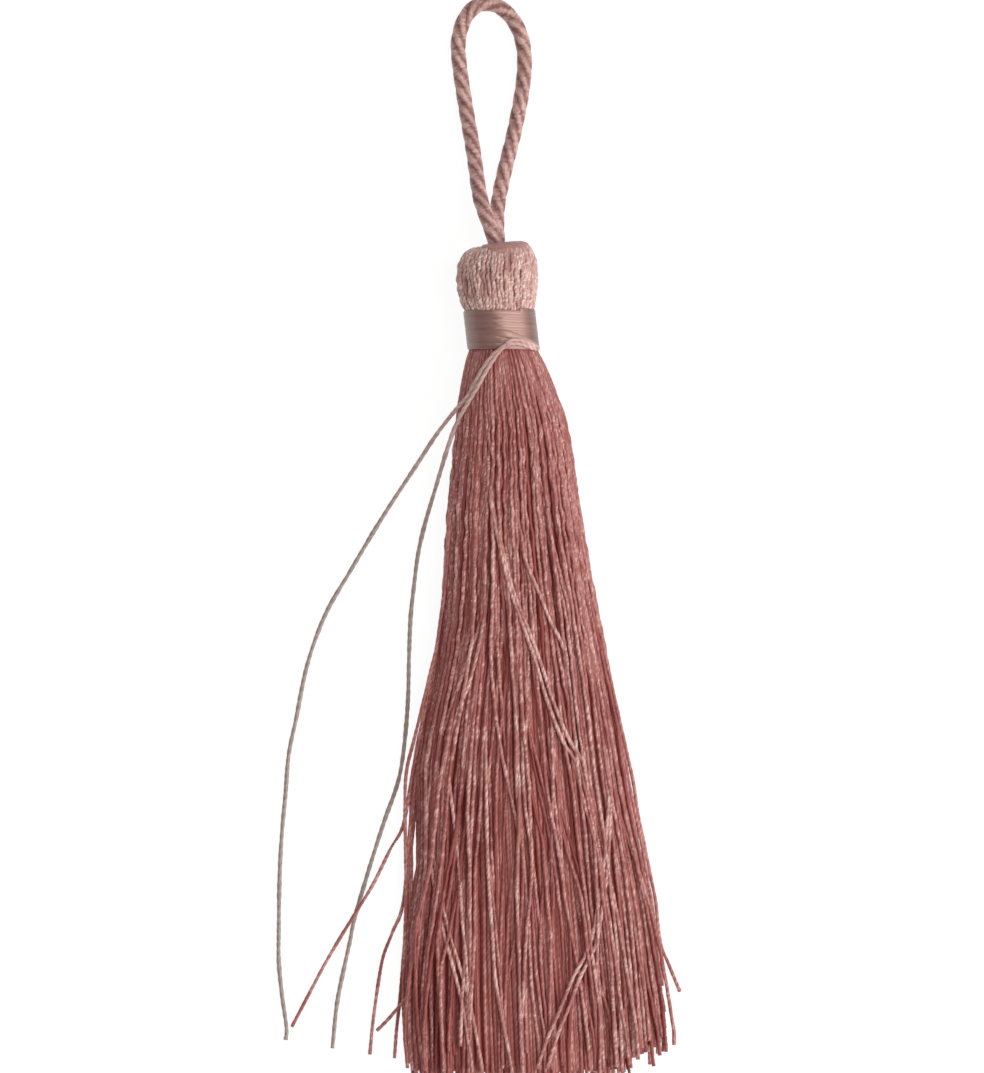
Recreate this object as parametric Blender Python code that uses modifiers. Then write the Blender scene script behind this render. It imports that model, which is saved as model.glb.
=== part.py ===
# Silky thread tassel with a twisted cord loop, lying on its back on a table.
#
# Frame: metres, +Z up, the table is z = 0. The origin is on the table under the middle of the head,
# +Y points to the hanging loop and -Y to the cut ends of the skirt. All sizes below are in millimetres.

import math
import random
from collections import namedtuple

import bmesh
import bpy
from mathutils import Vector
from mathutils.geometry import delaunay_2d_cdt

MM = 0.001
CLEARANCE = 0.3  # between pieces that touch on the real tassel
SAME_PLACE = 0.000001  # points nearer than this are one
MERGE_DISTANCE = 0.00001  # the same in a modifier, in metres

# Head: threads folded over the cord, a soft barrel whose ridges run along the tassel.
AXIS_HEIGHT = 4.8  # the head's axis above the table, under its radius of 5.2, so its underside lies flat
HEAD_MIDDLE = 1.0  # the y from which the head leans over to the neck
HEAD_RIDGES = 32
RIDGE_DEPTH = 0.16
POINTS_PER_RIDGE = 2
NECK_RADIUS = 3.8
NECK_SHIFT = 0.55  # the neck lies a little to the right of the head
ROOT_SHIFT = 1.0  # and the skirt's root a little more
ROOT_WIDENING = 1.1  # the skirt's root is wider than high
ROOT_Y = -12.0
ROOT_RADIUS = 4.8
ROOT_DOME = 3.0  # how far the middle of the fused roots reaches past their rim

# Binding: thread wound round the neck.
BINDING_TOP = -3.9
BINDING_BOTTOM = -9.0
BINDING_TURNS = 7
BINDING_RADIUS = 4.75
TURN_DEPTH = 0.14
BINDING_STEPS = 36

# Skirt: locks of three sides, flat side down, in staggered rows across the bundle.
ROWS = 10
COLUMNS = 23
TOP_ROW = 0.95  # height of the top row as a share of the skirt's own height
EDGE = 0.94  # how far the bundle's rounded section reaches before it ends in blunt edges
WANDER = 0.32  # how much of the room between neighbours a lock may use
WANDER_SEED = 7
TURN_OFF = 3.0  # the last station that a lock passes is at least this far from the start of its own course
TIP_SCATTER = 1.1
SIDES = 3
FLOOR_LIFT = 1 / (2 * math.sqrt(3))  # centre of a three-sided lock above its flat side, for a width of 1
LOCK_HEIGHT = math.sqrt(3) / 2

# Cords.
CURVE_STEPS = 24  # between two points of a route, before its points are spaced evenly
LOOP_DIAMETER = 2.0
LOOP_PLIES = 4
LOOP_LAY = 9.6  # length of one full turn of the plies
LOOP_STEPS_PER_LAY = 13
TIE_DIAMETER = 0.6
TIE_SPACING = 2.1

# Outline of one ply in the loop cord's section: the turn as a share of a ply's own angle, and the reach as a
# share of the cord's radius. The first point is the groove between two plies.
PlyPoint = namedtuple("PlyPoint", "turn reach")
PLY = [PlyPoint(-0.5, 0.70), PlyPoint(-0.19, 1.0), PlyPoint(0.19, 1.0)]

Ring = namedtuple("Ring", "y radius ridged")
HEAD = [
    Ring(4.05, 0.0, 0.0),
    Ring(4.15, 1.6, 0.0),
    Ring(4.5, 2.7, 0.6),
    Ring(4.2, 3.6, 1.0),
    Ring(3.3, 4.45, 1.0),
    Ring(2.0, 5.05, 1.0),
    Ring(0.2, 5.2, 1.0),
    Ring(-1.8, 5.08, 1.0),
    Ring(-3.2, 4.75, 1.0),
    Ring(BINDING_TOP + CLEARANCE, 4.35, 0.6),
    Ring(BINDING_TOP + CLEARANCE, NECK_RADIUS, 0.0),
    Ring(BINDING_BOTTOM - CLEARANCE, NECK_RADIUS, 0.0),
    Ring(BINDING_BOTTOM - CLEARANCE, 4.1, 0.6),
    Ring(-10.3, 4.7, 1.0),
    Ring(ROOT_Y, ROOT_RADIUS, 1.0),
]

# Outline of the skirt: left and right edge, height above the table, how far it has settled from the round
# bundle at the neck (0) to one that lies flat on the table (1), and the width of a lock.
Station = namedtuple("Station", "y left right height settled lock")
SKIRT = [
    Station(ROOT_Y, -3.9, 5.9, 9.0, 0.0, 0.27),
    Station(-19.0, -5.4, 9.3, 9.6, 0.3, 0.44),
    Station(-27.0, -6.3, 10.6, 9.3, 0.65, 0.54),
    Station(-39.0, -7.2, 12.6, 8.5, 0.9, 0.60),
    Station(-53.0, -9.0, 15.3, 7.4, 1.0, 0.62),
    Station(-69.0, -11.7, 17.9, 6.5, 1.0, 0.62),
    Station(-86.0, -12.1, 20.6, 6.0, 1.0, 0.62),
    Station(-104.0, -11.3, 22.4, 5.8, 1.0, 0.62),
]

# Where the cut ends lie across the skirt: they are shorter towards the right.
Cut = namedtuple("Cut", "x y")
CUT_LINE = [Cut(-12.2, -101.3), Cut(-9.5, -103.0), Cut(13.0, -103.4), Cut(16.0, -101.6), Cut(22.0, -96.2)]

# Locks that leave the bundle and lie on the table by themselves: the row and side they come from, and the
# points they pass, each with the height of the lock's flat side.
Stray = namedtuple("Stray", "row side course")
STRAYS = [
    Stray(0, -1, [
        (-12.0, -86.4, 0.0), (-12.4, -90.1, 0.0), (-12.7, -94.0, 0.0), (-13.1, -97.6, 0.0),
        (-13.4, -101.5, 0.0),
    ]),
    Stray(1, -1, [
        (-12.3, -81.3, 0.75), (-13.6, -84.9, 0.35), (-14.8, -88.0, 0.0), (-15.4, -91.0, 0.0),
        (-15.9, -94.4, 0.0), (-16.6, -101.0, 0.0),
    ]),
    Stray(2, -1, [
        (-12.2, -70.9, 1.4), (-13.9, -74.1, 1.2), (-16.1, -78.6, 1.1), (-18.1, -81.9, 1.05),
        (-20.4, -85.6, 0.85), (-22.6, -89.4, 0.25), (-24.1, -92.7, 0.0), (-26.2, -96.7, 0.0),
    ]),
    Stray(3, -1, [
        (-11.6, -90.6, 1.6), (-12.5, -93.8, 1.0), (-13.7, -95.9, 0.45), (-15.2, -97.4, 0.0),
    ]),
    Stray(0, 1, [
        (20.7, -82.5, 0.0), (21.3, -86.2, 0.0), (22.5, -89.4, 0.0), (23.9, -92.8, 0.0),
    ]),
]

# Locks of the top row that cross over the others: the column they come from, counted from the middle, and the
# points they pass on top of the skirt.
Crossing = namedtuple("Crossing", "column course")
CROSSINGS = [
    Crossing(3, [
        (7.3, -43.0), (11.6, -53.0), (14.3, -64.0), (14.2, -72.0), (13.3, -81.0), (10.6, -89.6),
        (8.2, -95.6), (5.2, -102.2),
    ]),
    Crossing(-4, [
        (-2.2, -43.0), (-5.6, -53.0), (-8.1, -63.0), (-8.5, -71.0), (-6.6, -83.0), (-3.6, -94.0),
        (-2.2, -100.7),
    ]),
    Crossing(-2, [
        (1.0, -31.0), (2.6, -40.4), (5.8, -52.4), (9.6, -62.4), (10.4, -72.0), (9.9, -81.5),
        (8.4, -89.0), (3.6, -101.3),
    ]),
]

# Centre lines of the cords, from where each leaves the tassel.
LOOP_ROUTE = [
    (-0.3, 4.75, 6.0), (-0.45, 5.6, 6.0), (-0.95, 7.0, 5.95), (-1.65, 8.9, 5.6), (-2.3, 11.2, 4.9),
    (-3.1, 16.9, 2.7), (-4.1, 22.8, 1.25), (-4.85, 27.9, 1.0), (-5.05, 31.0, 1.0), (-4.45, 33.7, 1.0),
    (-3.2, 35.5, 1.0), (-1.5, 36.2, 1.0), (0.4, 35.7, 1.0), (2.0, 34.2, 1.0), (3.15, 31.9, 1.0),
    (3.6, 28.8, 1.0), (3.25, 24.6, 1.0), (2.2, 19.2, 1.0), (1.05, 14.6, 1.4), (0.3, 11.0, 2.4),
    (-0.1, 8.6, 3.2), (-0.25, 6.6, 3.55), (-0.3, 5.6, 3.6), (-0.3, 4.75, 3.6),
]
LONG_END_ROUTE = [
    (1.7, -8.1, 10.18), (0.7, -8.9, 10.18), (-0.7, -10.1, 10.15), (-2.1, -12.1, 9.9), (-3.0, -13.9, 9.6),
    (-3.9, -15.4, 8.9), (-5.4, -17.0, 7.3), (-7.8, -20.0, 4.5), (-10.2, -23.6, 2.1), (-12.2, -26.6, 0.8),
    (-14.3, -29.8, 0.35), (-16.4, -33.2, 0.3), (-19.3, -38.1, 0.3), (-22.0, -42.7, 0.3),
    (-23.8, -47.0, 0.3), (-25.1, -51.4, 0.3), (-26.2, -57.0, 0.3), (-27.2, -61.8, 0.3),
    (-27.6, -66.7, 0.3), (-28.1, -72.2, 0.3), (-28.4, -78.0, 0.3), (-28.5, -84.6, 0.3),
    (-28.5, -88.8, 0.3), (-28.1, -93.1, 0.3), (-27.5, -97.5, 0.3), (-27.6, -99.1, 0.3),
]
SHORT_END_ROUTE = [
    (2.1, -9.0, 10.2), (0.9, -10.2, 10.2), (-0.4, -11.9, 10.15), (-1.4, -14.0, 10.1), (-2.6, -16.0, 9.8),
    (-4.2, -18.2, 8.9), (-5.7, -20.6, 7.2), (-6.8, -23.2, 5.2), (-8.1, -27.7, 2.5), (-9.4, -31.7, 0.9),
    (-10.3, -35.6, 0.35), (-10.9, -40.3, 0.3), (-11.3, -44.2, 0.3), (-11.5, -49.4, 0.3),
    (-11.6, -54.0, 0.3), (-11.9, -58.5, 0.3), (-12.4, -62.8, 0.3), (-13.1, -66.0, 0.3),
    (-14.6, -70.2, 0.3), (-16.1, -74.8, 0.3), (-17.2, -78.4, 0.3), (-18.6, -83.2, 0.3),
    (-19.2, -86.2, 0.3), (-19.9, -89.4, 0.3), (-20.9, -94.4, 0.3), (-21.5, -100.2, 0.3),
]

PINK = (0.48, 0.25, 0.22, 1.0)
TIE_GREY = (0.42, 0.36, 0.35, 1.0)


def clear_scene():
    for thing in list(bpy.data.objects):
        bpy.data.objects.remove(thing, do_unlink=True)


def make_collection(name):
    made = bpy.data.collections.new(name)
    bpy.context.scene.collection.children.link(made)
    return made


def make_material(name, colour, roughness):
    made = bpy.data.materials.new(name)
    made.use_nodes = True
    shader = made.node_tree.nodes["Principled BSDF"]
    shader.inputs["Base Color"].default_value = colour
    shader.inputs["Roughness"].default_value = roughness
    shader.inputs["Metallic"].default_value = 0.0
    return made


def add_object(name, data, material, collection):
    made = bpy.data.objects.new(name, data)
    data.materials.append(material)
    collection.objects.link(made)
    return made


def way(rows, key):
    """1 where a table's column grows from row to row, and -1 where it falls."""
    return 1 if getattr(rows[-1], key) > getattr(rows[0], key) else -1


def share_between(start, end, value):
    """0 before the start, 1 after the end, and in proportion between them."""
    return min(max((value - start) / (end - start), 0.0), 1.0)


def between(rows, key, value):
    """Row of a table read at a value of one column, each column on straight lines between the rows."""
    passed = [(getattr(row, key) - value) * way(rows, key) >= 0 for row in rows]
    after = max(passed.index(True) if True in passed else len(rows) - 1, 1)
    low, high = rows[after - 1], rows[after]
    share = share_between(getattr(low, key), getattr(high, key), value)
    return type(low)(*(p + (q - p) * share for p, q in zip(low, high)))


def smooth_route(points, spacing, lowest):
    """Evenly spaced points on a Catmull-Rom curve through the given points, none under a lowest height."""
    given = [Vector(p) for p in points]
    ends = [2 * given[0] - given[1], *given, 2 * given[-1] - given[-2]]
    fine = []
    for a, b, c, d in zip(ends, ends[1:], ends[2:], ends[3:]):
        for step in range(CURVE_STEPS):
            t = step / CURVE_STEPS
            bend = 2 * a - 5 * b + 4 * c - d
            curl = 3 * b - a - 3 * c + d
            fine.append(b + 0.5 * ((c - a) * t + bend * t**2 + curl * t**3))
    fine.append(given[-1])
    travelled = [0.0]
    for p, q in zip(fine, fine[1:]):
        travelled.append(travelled[-1] + (q - p).length)
    count = round(travelled[-1] / spacing)
    route, at = [], 0
    for i in range(count + 1):
        goal = travelled[-1] * i / count
        while at < len(fine) - 2 and travelled[at + 1] < goal:
            at += 1
        share = (goal - travelled[at]) / (travelled[at + 1] - travelled[at])
        place = fine[at].lerp(fine[at + 1], share)
        place.z = max(place.z, lowest)
        route.append(place)
    return route


def cord_curve(name, route, tilts=None):
    """Curve data of one open spline with filled ends, through a route in millimetres."""
    curve = bpy.data.curves.new(name, "CURVE")
    curve.dimensions = "3D"
    curve.use_fill_caps = True
    spline = curve.splines.new("POLY")
    spline.points.add(len(route) - 1)
    for i, place in enumerate(route):
        spline.points[i].co = (*(place * MM), 1.0)
        spline.points[i].tilt = tilts[i] if tilts else 0.0
    return curve


def head_place(ring, angle):
    """Place on the head, neck or root rim: ridges as a wave round the barrel, flat on the table."""
    radius = ring.radius - RIDGE_DEPTH / 2 * ring.ridged * (1 - math.cos(HEAD_RIDGES * angle))
    above_neck = share_between(HEAD_MIDDLE, BINDING_TOP + CLEARANCE, ring.y)
    below_neck = share_between(BINDING_BOTTOM - CLEARANCE, ROOT_Y, ring.y)
    shift = NECK_SHIFT * above_neck + (ROOT_SHIFT - NECK_SHIFT) * below_neck
    widening = 1.0 + (ROOT_WIDENING - 1.0) * below_neck
    x = shift + radius * widening * math.cos(angle)
    z = AXIS_HEIGHT + radius * math.sin(angle)
    return Vector((x, ring.y, max(z, 0.0)))


def ring_places(ring):
    """Places round one ring of the head and neck, or the one at its pole."""
    steps = HEAD_RIDGES * POINTS_PER_RIDGE if ring.radius else 1
    return [head_place(ring, 2 * math.pi * k / steps) for k in range(steps)]


def bridge(bm, upper, lower):
    """Faces between two rings of points, or between a pole and a ring."""
    count = len(lower)
    for k in range(count):
        after = (k + 1) % count
        if len(upper) == 1:
            bm.faces.new((upper[0], lower[k], lower[after]))
        else:
            bm.faces.new((upper[k], lower[k], lower[after], upper[after]))


def root_depth(x, z):
    """The y of the domed face that the locks grow from."""
    across = (x - ROOT_SHIFT) / (ROOT_RADIUS * ROOT_WIDENING)
    up = (z - AXIS_HEIGHT) / ROOT_RADIUS
    return ROOT_Y - ROOT_DOME * max(1.0 - across**2 - up**2, 0.0)


def bundle_height(across):
    """Height of the bundle's section, a half circle of radius 1, from its left edge (-1) to its right (1)."""
    return math.sqrt(1.0 - min(abs(EDGE * across), 1.0) ** 2)


def bundle_place(across, up, y):
    """Where a lock lies along the skirt. across runs from -1 to 1, and up from 0, on the table, to 1."""
    at = between(SKIRT, "y", y)
    middle = (at.left + at.right) / 2
    x = middle + ((at.right - at.left) / 2 - at.lock / 2) * across
    round_up = 2 * up - bundle_height(across)
    z_round = AXIS_HEIGHT + (at.height - at.lock) / 2 * round_up
    z_flat = at.lock * FLOOR_LIFT + (at.height - at.lock * LOCK_HEIGHT) * up
    return Vector((x, y, z_round + (z_flat - z_round) * at.settled))


def top_height(x, y):
    """Centre height of a lock that lies over all the others at one place of the skirt."""
    at = between(SKIRT, "y", y)
    across = (x - (at.left + at.right) / 2) / ((at.right - at.left) / 2)
    return bundle_place(across, bundle_height(across), y).z + at.lock + CLEARANCE


def bundle_layout():
    """(row, column, side, across, up) of each lock: staggered rows over the bundle's section."""
    places = []
    for row in range(ROWS):
        up = TOP_ROW * row / (ROWS - 1)
        reach = min(math.sqrt(1.0 - up**2) / EDGE, 1.0)
        pitch = 2.0 / COLUMNS
        stagger = 0.5 * (row % 2)
        columns = [c for c in range(-COLUMNS, COLUMNS + 1) if abs((c + stagger) * pitch) <= reach]
        for column in columns:
            side = -1 if column == columns[0] else 1 if column == columns[-1] else 0
            places.append((row, column, side, (column + stagger) * pitch, up))
    return places


def lock_course(row, column, side, across, up, chance):
    """Centres of one lock from its root to its cut end."""
    wander = [(chance.uniform(-1, 1), chance.uniform(-1, 1)) for _ in SKIRT]
    root = bundle_place(across, up, ROOT_Y)
    course = [Vector((root.x, root_depth(root.x, root.z), root.z))]
    stray = next((s.course for s in STRAYS if s.row == row and s.side == side), None)
    crossing = next((c.course for c in CROSSINGS if c.column == column and row == ROWS - 1), None)
    own = stray or crossing
    for station, (sideways, upwards) in zip(SKIRT[1:], wander[1:]):
        if own and station.y <= own[0][1] + TURN_OFF:
            break
        place = bundle_place(across, up, station.y)
        place.x += WANDER * ((station.right - station.left) / COLUMNS - station.lock) * sideways
        if row > 0:
            rise = station.height * TOP_ROW / (ROWS - 1)
            place.z += WANDER * max(rise - station.lock, 0.0) * upwards
        course.append(place)
    if stray:
        lock = SKIRT[-1].lock
        course += [Vector((x, y, flat + lock * FLOOR_LIFT)) for x, y, flat in stray]
    elif crossing:
        course += [Vector((x, y, top_height(x, y))) for x, y in crossing]
    else:
        cut = between(CUT_LINE, "x", course[-1].x).y + TIP_SCATTER * chance.uniform(-1, 1)
        share = (cut - SKIRT[-2].y) / (SKIRT[-1].y - SKIRT[-2].y)
        course[-1] = course[-2].lerp(course[-1], share)
    return course


def lock_corners(course, i):
    """Corners of a lock's section, flat side down, widened where it runs askew to keep its thickness."""
    before, after = course[max(i - 1, 0)], course[min(i + 1, len(course) - 1)]
    run = after - before
    widen = math.hypot(run.x, run.y) / abs(run.y)
    width = between(SKIRT, "y", course[i].y if i else ROOT_Y).lock
    low, half = width * FLOOR_LIFT, width * widen / 2
    corners = [Vector((-half, 0, -low)), Vector((half, 0, -low)), Vector((0, 0, width * LOCK_HEIGHT - low))]
    return [course[i] + corner for corner in corners]


def add_root_faces(bm, rim, courses):
    """The domed face that closes the neck's rim, cut up so that each lock has a root face of its own."""
    flat = [Vector((vert.co.x, vert.co.z)) for vert in rim]
    for course in courses:
        flat += [Vector((corner.x, corner.z)) for corner in lock_corners(course, 0)]
    count = len(rim)
    rim_edges = [(i, (i + 1) % count) for i in range(count)]
    roots = [tuple(range(count + SIDES * i, count + SIDES * (i + 1))) for i in range(len(courses))]
    places, _, faces, _, _, origins = delaunay_2d_cdt(flat, rim_edges, roots, 1, SAME_PLACE)
    verts = rim + [bm.verts.new((p.x, root_depth(p.x, p.y), p.y)) for p in places[count:]]
    root_faces = {}
    for face, origin in zip(faces, origins):
        made = bm.faces.new([verts[i] for i in face])
        if origin:
            root_faces[origin[0]] = made
    return root_faces


def draw_out(bm, face, course):
    """A lock: its root face drawn out along its course."""
    old = lock_corners(course, 0)
    for station in range(1, len(course)):
        new = lock_corners(course, station)
        face = bmesh.ops.extrude_discrete_faces(bm, faces=[face])["faces"][0]
        for vert in face.verts:
            reach = [math.hypot(vert.co.x - corner.x, vert.co.z - corner.z) for corner in old]
            vert.co = new[reach.index(min(reach))]
        old = new


def head_and_skirt():
    """The head and neck, lofted through the rings of their table, with the locks of the skirt."""
    bm = bmesh.new()
    rings = [[bm.verts.new(place) for place in ring_places(ring)] for ring in HEAD]
    for upper, lower in zip(rings, rings[1:]):
        bridge(bm, upper, lower)
    chance = random.Random(WANDER_SEED)
    courses = [lock_course(*place, chance) for place in bundle_layout()]
    root_faces = add_root_faces(bm, rings[-1], courses)
    bmesh.ops.recalc_face_normals(bm, faces=bm.faces)
    for i, course in enumerate(courses):
        draw_out(bm, root_faces[i], course)
    bmesh.ops.scale(bm, vec=(MM, MM, MM), verts=bm.verts)
    mesh = bpy.data.meshes.new("head_and_skirt")
    bm.to_mesh(mesh)
    bm.free()
    return mesh


def binding_profile():
    """(radius, y) of the wound ring, down its outer side and up its inner one: a soft wave for each turn."""
    outer = []
    steps = 2 * BINDING_TURNS
    for i in range(steps + 1):
        y = BINDING_TOP + (BINDING_BOTTOM - BINDING_TOP) * i / steps
        outer.append((BINDING_RADIUS - TURN_DEPTH * (1 - i % 2), y))
    inner_radius = NECK_RADIUS + CLEARANCE
    return outer + [(inner_radius, BINDING_BOTTOM), (inner_radius, BINDING_TOP)]


def binding(material, collection):
    places = [(radius * MM, 0.0, y * MM) for radius, y in binding_profile()]
    count = len(places)
    mesh = bpy.data.meshes.new("binding")
    mesh.from_pydata(places, [(i, (i + 1) % count) for i in range(count)], [])
    made = add_object("binding", mesh, material, collection)
    made.location = (NECK_SHIFT * MM, 0.0, AXIS_HEIGHT * MM)
    made.rotation_euler = (-math.pi / 2, 0.0, 0.0)
    turn = made.modifiers.new("turn", "SCREW")
    turn.axis = "Z"
    turn.angle = 2 * math.pi
    turn.steps = BINDING_STEPS
    turn.render_steps = BINDING_STEPS
    turn.use_merge_vertices = True
    turn.merge_threshold = MERGE_DISTANCE


def ply_section(collection):
    """Guide curve: the loop cord's section, round plies with a groove between each pair."""
    section = bpy.data.curves.new("ply_section", "CURVE")
    section.dimensions = "2D"
    spline = section.splines.new("POLY")
    spline.points.add(LOOP_PLIES * len(PLY) - 1)
    spline.use_cyclic_u = True
    outline = [(ply + at.turn, at.reach) for ply in range(LOOP_PLIES) for at in PLY]
    for point, (turn, reach) in zip(spline.points, outline):
        angle = -2 * math.pi * turn / LOOP_PLIES
        radius = LOOP_DIAMETER / 2 * reach * MM
        point.co = (radius * math.cos(angle), radius * math.sin(angle), 0.0, 1.0)
    guide = bpy.data.objects.new("ply_section", section)
    guide.hide_render = True
    guide.display_type = "WIRE"
    collection.objects.link(guide)
    return guide


def hanging_loop(material, collection, guides):
    route = smooth_route(LOOP_ROUTE, LOOP_LAY / LOOP_STEPS_PER_LAY, LOOP_DIAMETER / 2)
    tilts = [-2 * math.pi * i / LOOP_STEPS_PER_LAY for i in range(len(route))]
    curve = cord_curve("hanging_loop", route, tilts)
    curve.bevel_mode = "OBJECT"
    curve.bevel_object = ply_section(guides)
    curve.twist_mode = "MINIMUM"
    add_object("hanging_loop", curve, material, collection)


def tie_end(name, points, material, collection):
    curve = cord_curve(name, smooth_route(points, TIE_SPACING, TIE_DIAMETER / 2))
    curve.bevel_depth = TIE_DIAMETER / 2 * MM
    curve.bevel_resolution = 2
    add_object(name, curve, material, collection)


def build():
    clear_scene()
    parts = make_collection("thread_tassel")
    guides = make_collection("guides")
    add_object("head_and_skirt", head_and_skirt(), make_material("silky_thread", PINK, 0.45), parts)
    binding(make_material("binding_floss", PINK, 0.35), parts)
    hanging_loop(make_material("loop_cord", PINK, 0.4), parts, guides)
    tie = make_material("tie_thread", TIE_GREY, 0.5)
    tie_end("tie_end_long", LONG_END_ROUTE, tie, parts)
    tie_end("tie_end_short", SHORT_END_ROUTE, tie, parts)


build()
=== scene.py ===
# Silky pink tassel lying on a pale table, seen from straight above.
# The frame is in metres; the sizes in the dictionaries are in millimetres, with y = 0 under the middle of the
# head, +y towards the loop and z = 0 on the table.

import math

import bpy
import numpy as np
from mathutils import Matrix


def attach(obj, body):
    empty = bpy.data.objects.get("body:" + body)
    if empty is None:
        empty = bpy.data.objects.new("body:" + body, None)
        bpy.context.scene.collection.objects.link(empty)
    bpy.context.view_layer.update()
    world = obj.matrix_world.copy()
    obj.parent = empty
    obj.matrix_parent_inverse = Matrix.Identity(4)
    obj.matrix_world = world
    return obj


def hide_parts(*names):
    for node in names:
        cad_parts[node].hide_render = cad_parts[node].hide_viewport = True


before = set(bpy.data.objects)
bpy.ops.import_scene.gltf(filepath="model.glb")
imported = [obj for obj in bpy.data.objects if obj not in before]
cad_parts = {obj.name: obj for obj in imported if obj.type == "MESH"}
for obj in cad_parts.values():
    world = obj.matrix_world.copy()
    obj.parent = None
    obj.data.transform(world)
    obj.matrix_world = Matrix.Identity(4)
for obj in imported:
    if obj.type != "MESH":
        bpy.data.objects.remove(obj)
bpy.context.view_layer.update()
mm = 0.001
dice = np.random.default_rng(31)


view = {  # the lens and places in mm, clip distances in metres
    "centre": (-0.65, -33.35), "height": 779.0, "lens": 200.0, "sensor": 36.0, "near": 0.01, "far": 20.0,
}


def addCamera():
    camera = bpy.data.cameras.new("camera")
    camera.lens = view["lens"]
    camera.sensor_width = view["sensor"]
    camera.clip_start = view["near"]
    camera.clip_end = view["far"]
    holder = bpy.data.objects.new("camera", camera)
    holder.location = (view["centre"][0] * mm, view["centre"][1] * mm, view["height"] * mm)
    bpy.context.scene.collection.objects.link(holder)
    bpy.context.scene.camera = holder


lamps = {  # distance and side in metres, power in watts
    "key": {"towards": (0.28, 0.14, 0.95), "distance": 0.9, "side": 0.24, "power": 2.2,
            "colour": (1.0, 0.97, 0.94)},
    "side": {"towards": (0.73, -0.20, 0.65), "distance": 0.9, "side": 0.72, "power": 5.6,
             "colour": (1.0, 0.98, 0.96)},
}


def addLamps():
    for name, lamp in lamps.items():
        light = bpy.data.lights.new(name, "AREA")
        light.shape = "SQUARE"
        light.size = lamp["side"]
        light.energy = lamp["power"]
        light.color = lamp["colour"]
        holder = bpy.data.objects.new(name, light)
        towards = np.array(lamp["towards"]) / np.linalg.norm(lamp["towards"])
        middle = np.array([view["centre"][0] * mm, view["centre"][1] * mm, 0.0])
        holder.location = middle + towards * lamp["distance"]
        holder.rotation_euler = aimed(towards)
        holder.visible_camera = False
        bpy.context.scene.collection.objects.link(holder)


def aimed(back):
    # angles that turn a lamp's -Z away from back: tilt from +Z, then swing about Z
    tilt = math.acos(back[2])
    swing = math.atan2(back[1], back[0]) + math.pi / 2
    return (tilt, 0.0, swing)


surround = {  # tableSide in metres; the table glows, so that it is as pale everywhere
    "worldStrength": 0.30, "tableSide": 6.0, "tableWhite": 0.12, "tableGlow": 0.93,
}


def addSurround():
    world = bpy.data.worlds.new("studio")
    world.use_nodes = True
    sky = world.node_tree.nodes["Background"]
    sky.inputs["Color"].default_value = (1.0, 1.0, 1.0, 1.0)
    sky.inputs["Strength"].default_value = surround["worldStrength"]
    bpy.context.scene.world = world
    bpy.context.scene.view_settings.view_transform = "Standard"
    half = surround["tableSide"] / 2
    corners = [(-half, -half, 0.0), (half, -half, 0.0), (half, half, 0.0), (-half, half, 0.0)]
    mesh = bpy.data.meshes.new("table")
    mesh.from_pydata(corners, [], [(0, 1, 2, 3)])
    table = bpy.data.objects.new("table", mesh)
    bpy.context.scene.collection.objects.link(table)
    finish = bpy.data.materials.new("tableWhite")
    finish.use_nodes = True
    shader = finish.node_tree.nodes["Principled BSDF"]
    white = surround["tableWhite"]
    shader.inputs["Base Color"].default_value = (white, white, white, 1.0)
    shader.inputs["Roughness"].default_value = 1.0
    shader.inputs["Specular IOR Level"].default_value = 0.0
    shader.inputs["Emission Color"].default_value = (1.0, 1.0, 1.0, 1.0)
    shader.inputs["Emission Strength"].default_value = surround["tableGlow"]
    mesh.materials.append(finish)


class Wire:
    # an output socket in Python expressions, where every operator adds a Math node
    def __init__(self, tree, socket=None):
        self.tree = tree
        self.socket = socket

    def node(self, kind, settings, inputs, output=0):
        made = self.tree.nodes.new("ShaderNode" + kind)
        for name, value in settings.items():
            setattr(made, name, value)
        for name, value in inputs.items():
            if isinstance(value, Wire):
                self.tree.links.new(value.socket, made.inputs[name])
            else:
                made.inputs[name].default_value = value
        return Wire(self.tree, made.outputs[output] if made.outputs else None)

    def maths(self, operation, first, second=0.0):
        return self.node("Math", {"operation": operation}, {0: first, 1: second})

    def __add__(self, other):
        return self.maths("ADD", self, other)

    def __radd__(self, other):
        return self.maths("ADD", other, self)

    def __sub__(self, other):
        return self.maths("SUBTRACT", self, other)

    def __rsub__(self, other):
        return self.maths("SUBTRACT", other, self)

    def __mul__(self, other):
        return self.maths("MULTIPLY", self, other)

    def __rmul__(self, other):
        return self.maths("MULTIPLY", other, self)

    def __pow__(self, other):
        return self.maths("POWER", self, other)

    def wave(self):
        # 1 at whole numbers, 0 half way between them
        return self.maths("COSINE", self * math.tau) * 0.5 + 0.5

    def within(self):
        return self.node("Clamp", {}, {"Value": self})

    def cutOut(self, slopeAndFall):
        # value * slope - fall, kept from 0 to 1
        slope, fall = slopeAndFall
        return (self * slope - fall).within()

    def blend(self, low, high):
        # colour mix: low where this is 0, high where it is 1
        settings = {"data_type": "RGBA"}
        return self.node("Mix", settings, {0: self, 6: low, 7: high}, output=2)


def newFinish(name):
    finish = bpy.data.materials.new(name)
    finish.use_nodes = True
    finish.node_tree.nodes.clear()
    return finish, Wire(finish.node_tree)


def closeFinish(wire, look, pink, tone, height, inputs):
    # the pink, deepened by the tone, and the relief go into one shader with the other inputs
    strength, distance = look["bump"]
    bump = wire.node("Bump", {}, {"Strength": strength, "Distance": distance, "Height": height})
    surface = {"Base Color": toned(wire, pink, tone, look["depth"]), "Normal": bump}
    shader = wire.node("BsdfPrincipled", {}, surface | inputs)
    wire.node("OutputMaterial", {"target": "ALL"}, {"Surface": shader})


def colour(red, green, blue):
    return (red, green, blue, 1.0)


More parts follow.
